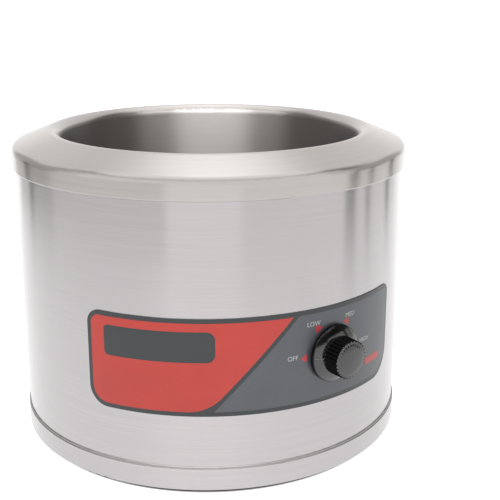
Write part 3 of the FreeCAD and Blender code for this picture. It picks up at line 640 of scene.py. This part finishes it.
def make_dial_marks():
    """Red pointers round the knob and their words."""
    mark_ink = printed("dial_mark_ink", MARK_RED)
    word_ink = printed("dial_word_ink", WORD_WHITE)
    for word, angle_deg, across, up in DIAL_WORDS:
        centre = Vector((DIAL_ACROSS, DIAL_HEIGHT))
        half = MARK_WIDTH / 2
        arrow = [(MARK_RADIUS, -half), (MARK_RADIUS + MARK_LENGTH, 0), (MARK_RADIUS, half)]
        turn = Matrix.Rotation(math.radians(angle_deg), 2)
        ink_patch("dial_mark_" + word.lower(), [centre + turn @ Vector(p) for p in arrow], mark_ink, 1)
        curve = bpy.data.curves.new("word", "FONT")
        curve.body = word
        curve.size = WORD_HEIGHT / CAPITAL_SHARE
        curve.align_x = "CENTER"
        curve.align_y = "CENTER"
        curve.extrude = INK_THICKNESS / 2
        holder = bpy.data.objects.new("word", curve)
        bpy.context.scene.collection.objects.link(holder)
        bpy.context.view_layer.update()
        mesh = bpy.data.meshes.new_from_object(holder.evaluated_get(bpy.context.evaluated_depsgraph_get()))
        bpy.data.objects.remove(holder)
        bpy.data.curves.remove(curve)
        for vertex in mesh.vertices:
            vertex.co += Vector((DIAL_ACROSS + across, DIAL_HEIGHT + up, INK_THICKNESS * WORD_LAYER))
        bend_onto_label(mesh.vertices)
        mesh.name = "dial_word_" + word.lower()
        new_piece("dial_word_" + word.lower(), mesh, word_ink, "warmer")


make_label_fields()
make_dial_marks()


def dial_matrix():
    """Frame on the knob's axis: x along the shell, y up, z outward."""
    outward = -Vector(dial_joint["axis"]).normalized()
    across = Vector((0, 0, 1)).cross(outward)
    origin = Vector((0, 0, DIAL_HEIGHT)) + outward * KNOB_REAR
    matrix = Matrix((across, Vector((0, 0, 1)), outward)).transposed().to_4x4()
    matrix.translation = origin
    return matrix


def knob_profile():
    """Points of the knob's section, radius and distance from the rear, and whether flutes cut them."""
    grip_end = KNOB_GRIP_RADIUS - KNOB_GRIP_TAPER
    inner = KNOB_SKIRT_RADIUS - KNOB_SKIRT_WALL
    corners = [(inner, KNOB_RECESS), (inner, 0), (KNOB_SKIRT_RADIUS, 0), (KNOB_SKIRT_RADIUS, KNOB_SKIRT_EDGE),
               (KNOB_GRIP_RADIUS, KNOB_SKIRT_TOP)]
    turned = rounded([(0, KNOB_RECESS)] + corners, [0, 0, 0, 0, KNOB_EDGE_ROUND, 0], SMALL_STEP_DEG)
    skirt = [(p.x, p.y, False) for p in turned]
    face = grip_end - 2 * KNOB_END_ROUND
    rim = rounded([(KNOB_GRIP_RADIUS, KNOB_SKIRT_TOP), (grip_end, KNOB_END), (face, KNOB_END)],
                  [0, KNOB_END_ROUND, 0], KNOB_END_STEP_DEG)
    grip = [(p.x, p.y, True) for p in rim]
    ball = (face ** 2 + KNOB_DOME_RISE ** 2) / (2 * KNOB_DOME_RISE)
    dome = []
    for k in range(1, KNOB_DOME_RINGS + 1):
        radius = face * (1 - k / KNOB_DOME_RINGS)
        dome.append((radius, KNOB_END + KNOB_DOME_RISE - ball + math.sqrt(ball ** 2 - radius ** 2), False))
    return skirt + grip + dome


def flute_cut(part):
    """Depth of the flute at a share of its pitch, from -0.5 to 0.5."""
    grip_end = KNOB_GRIP_RADIUS - KNOB_GRIP_TAPER
    reach = abs(part) * 2 * math.pi * grip_end / FLUTE_COUNT
    if reach >= FLUTE_RADIUS:
        return 0.0
    return max(0.0, FLUTE_DEPTH - FLUTE_RADIUS + math.sqrt(FLUTE_RADIUS ** 2 - reach ** 2))


def add_pointer(shape):
    """Low ridge on the skirt's slope, from the grip to near the skirt's edge, at the off stop."""
    fall = (KNOB_SKIRT_TOP - KNOB_SKIRT_EDGE) / (KNOB_SKIRT_RADIUS - KNOB_GRIP_RADIUS)
    inner = KNOB_GRIP_RADIUS - FLUTE_DEPTH
    outer = KNOB_SKIRT_RADIUS - POINTER_INSET
    half = POINTER_WIDTH / 2
    section = rounded([(-half, -POINTER_HEIGHT), (half, -POINTER_HEIGHT), (half, POINTER_HEIGHT),
                       (-half, POINTER_HEIGHT)], [0, 0, POINTER_ROUND, POINTER_ROUND], POINTER_STEP_DEG)
    ends = []
    for reach in (inner, outer):
        level = KNOB_SKIRT_TOP - (reach - KNOB_GRIP_RADIUS) * fall
        ends.append([shape.verts.new((-reach, p.x, level + p.y)) for p in section])
    faces = [shape.faces.new(ends[0]), shape.faces.new(ends[1][::-1])]
    count = len(section)
    for k in range(count):
        ahead = (k + 1) % count
        faces.append(shape.faces.new([ends[0][k], ends[1][k], ends[1][ahead], ends[0][ahead]]))
    bmesh.ops.recalc_face_normals(shape, faces=faces)


def make_knob():
    """Skirted knob with a fluted grip, a crowned end face and its pointer."""
    shape = bmesh.new()
    around = FLUTE_COUNT * FLUTE_STEPS
    rings = []
    for radius, out, fluted in knob_profile():
        if radius == 0:
            rings.append([shape.verts.new((0, 0, out))])
            continue
        ring = []
        for k in range(around):
            angle = 2 * math.pi * k / around
            cut = flute_cut((k % FLUTE_STEPS) / FLUTE_STEPS - 0.5) if fluted else 0.0
            reach = radius - cut
            ring.append(shape.verts.new((reach * math.cos(angle), reach * math.sin(angle), out)))
        rings.append(ring)
    for low, high in zip(rings, rings[1:]):
        join_rings(shape, low, high, around)
    bmesh.ops.recalc_face_normals(shape, faces=shape.faces)
    add_pointer(shape)
    shape.transform(dial_matrix())
    mesh = bpy.data.meshes.new("knob")
    shape.to_mesh(mesh)
    shape.free()
    mesh.shade_smooth()
    mesh.set_sharp_from_angle(angle=math.radians(SHARP_DEG))
    knob = new_piece("knob_fluted", mesh, slot_materials["black_phenolic"], "knob")
    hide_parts("control_knob")


make_knob()


def make_floor():
    """Pale floor that glows softly, apart from a painted shade under the object, where the glow is left out to
    stand in for its contact shadow.
    """
    material, tree, shader, place = new_material("studio_floor")
    cloud = noise(tree, place, FLOOR_CLOUD_SCALE, 2.0)
    feed(tree, shader.inputs["Base Color"], blend(tree, cloud, *FLOOR_TONES))
    shader.inputs["Roughness"].default_value = FLOOR_ROUGHNESS
    shader.inputs["Specular IOR Level"].default_value = FLOOR_GLOSS
    shader.inputs["Emission Color"].default_value = (1.0, 1.0, 1.0, 1.0)
    reach = add_node(tree, "ShaderNodeVectorMath", operation="LENGTH")
    feed(tree, reach.inputs[0], place)
    # The glow fades out under the object: painted shade for its contact shadow
    feed(tree, shader.inputs["Emission Strength"],
         ramp(tree, reach.outputs["Value"], FLOOR_PAINTED_SHADE_RADIUS - FLOOR_PAINTED_SHADE_SOFT,
              FLOOR_PAINTED_SHADE_RADIUS + FLOOR_PAINTED_SHADE_SOFT, 0.0, FLOOR_GLOW))
    mesh = bpy.data.meshes.new("studio_floor")
    half = FLOOR_HALF
    corners = [(-half, -half, 0), (half, -half, 0), (half, half, 0), (-half, half, 0)]
    mesh.from_pydata(corners, [], [(0, 1, 2, 3)])
    mesh.materials.append(material)
    floor = bpy.data.objects.new("studio_floor", mesh)
    bpy.context.scene.collection.objects.link(floor)


def curved_screen(name, azimuth, half_width, bottom, top, distance, brightness, step_deg):
    """Softly glowing upright screen that bends round the object."""
    material, tree, shader, place = new_material(name)
    cloud = noise(tree, place, BOARD_CLOUD_SCALE)
    feed(tree, shader.inputs["Base Color"], blend(tree, cloud, *BOARD_TONES))
    shader.inputs["Specular IOR Level"].default_value = 0.0
    shader.inputs["Emission Color"].default_value = ROOM_TINT
    shader.inputs["Emission Strength"].default_value = brightness
    count = max(1, round(2 * half_width / step_deg))
    ahead = Vector((CAMERA_AHEAD[0], CAMERA_AHEAD[1], 0)) * distance
    points = []
    for k in range(count + 1):
        turn = math.radians(azimuth - half_width + 2 * half_width * k / count)
        foot = Matrix.Rotation(-turn, 3, "Z") @ ahead
        points += [foot + Vector((0, 0, bottom)), foot + Vector((0, 0, top))]
    mesh = bpy.data.meshes.new(name)
    mesh.from_pydata(points, [], [(2 * k, 2 * k + 2, 2 * k + 3, 2 * k + 1) for k in range(count)])
    mesh.materials.append(material)
    screen = bpy.data.objects.new(name, mesh)
    bpy.context.scene.collection.objects.link(screen)
    return screen


def make_boards():
    """Boards that only reflections show."""
    for index, sizes in enumerate(STUDIO_BOARDS):
        board = curved_screen(f"studio_board_{index}", *sizes, BOARD_STEP_DEG)
        board.visible_camera = False
        board.visible_diffuse = False


def make_backdrop():
    """Pale wall far behind the floor, seen only by the camera."""
    wall = curved_screen("studio_backdrop", 0, 180, 0, BACKDROP_DISTANCE, BACKDROP_DISTANCE, BACKDROP_GLOW,
                         BACKDROP_STEP_DEG)
    wall.visible_diffuse = False
    wall.visible_glossy = False
    wall.visible_shadow = False


def make_world():
    """Soft studio light: a dim room with large soft panels in it."""
    world = bpy.data.worlds.new("studio")
    bpy.context.scene.world = world
    world.use_nodes = True
    tree = world.node_tree
    direction = add_node(tree, "ShaderNodeTexCoord").outputs["Generated"]
    parts = add_node(tree, "ShaderNodeSeparateXYZ")
    feed(tree, parts.inputs[0], direction)
    elevation = maths(tree, "DEGREES", maths(tree, "ARCSINE", parts.outputs[2]))
    level_plane = add_node(tree, "ShaderNodeVectorMath", operation="MULTIPLY")
    feed(tree, level_plane.inputs[0], direction)
    feed(tree, level_plane.inputs[1], (1.0, 1.0, 0.0))
    flat = add_node(tree, "ShaderNodeVectorMath", operation="NORMALIZE")
    feed(tree, flat.inputs[0], level_plane.outputs[0])
    ahead = Vector((CAMERA_AHEAD[0], CAMERA_AHEAD[1], 0))
    light = ROOM_LIGHT
    for azimuth, half_width, side_soft, lowest, highest, edge_soft, added in STUDIO_PANELS:
        facing = add_node(tree, "ShaderNodeVectorMath", operation="DOT_PRODUCT")
        feed(tree, facing.inputs[0], flat.outputs[0])
        feed(tree, facing.inputs[1], Matrix.Rotation(-math.radians(azimuth), 3, "Z") @ ahead)
        aside = maths(tree, "DEGREES", maths(tree, "ARCCOSINE", facing.outputs["Value"]))
        mask = ramp(tree, aside, half_width - side_soft, half_width + side_soft, 1.0, 0.0)
        for level, inside, outside in ((lowest, 1.0, 0.0), (highest, 0.0, 1.0)):
            mask = maths(tree, "MULTIPLY", mask,
                         ramp(tree, elevation, level - edge_soft, level + edge_soft, outside, inside))
        light = maths(tree, "ADD", maths(tree, "MULTIPLY", mask, added), light)
    background = tree.nodes["Background"]
    feed(tree, background.inputs["Color"], ROOM_TINT)
    feed(tree, background.inputs["Strength"], light)


def make_camera():
    """Camera at the photograph's place and angle."""
    data = bpy.data.cameras.new("photo_camera")
    data.lens = CAMERA_LENS
    data.sensor_width = CAMERA_SENSOR
    camera = bpy.data.objects.new("photo_camera", data)
    pitch = math.radians(CAMERA_PITCH_DEG)
    look = Vector((CAMERA_AHEAD[0] * math.cos(pitch), CAMERA_AHEAD[1] * math.cos(pitch), -math.sin(pitch)))
    turn = look.to_track_quat("-Z", "Y").to_matrix() @ Matrix.Rotation(math.radians(CAMERA_ROLL_DEG), 3, "Z")
    camera.matrix_world = Matrix.Translation(CAMERA_PLACE) @ turn.to_4x4()
    bpy.context.scene.collection.objects.link(camera)
    bpy.context.scene.camera = camera


make_floor()
make_boards()
make_backdrop()
make_world()
make_camera()
bpy.context.scene.view_settings.view_transform = "Standard"
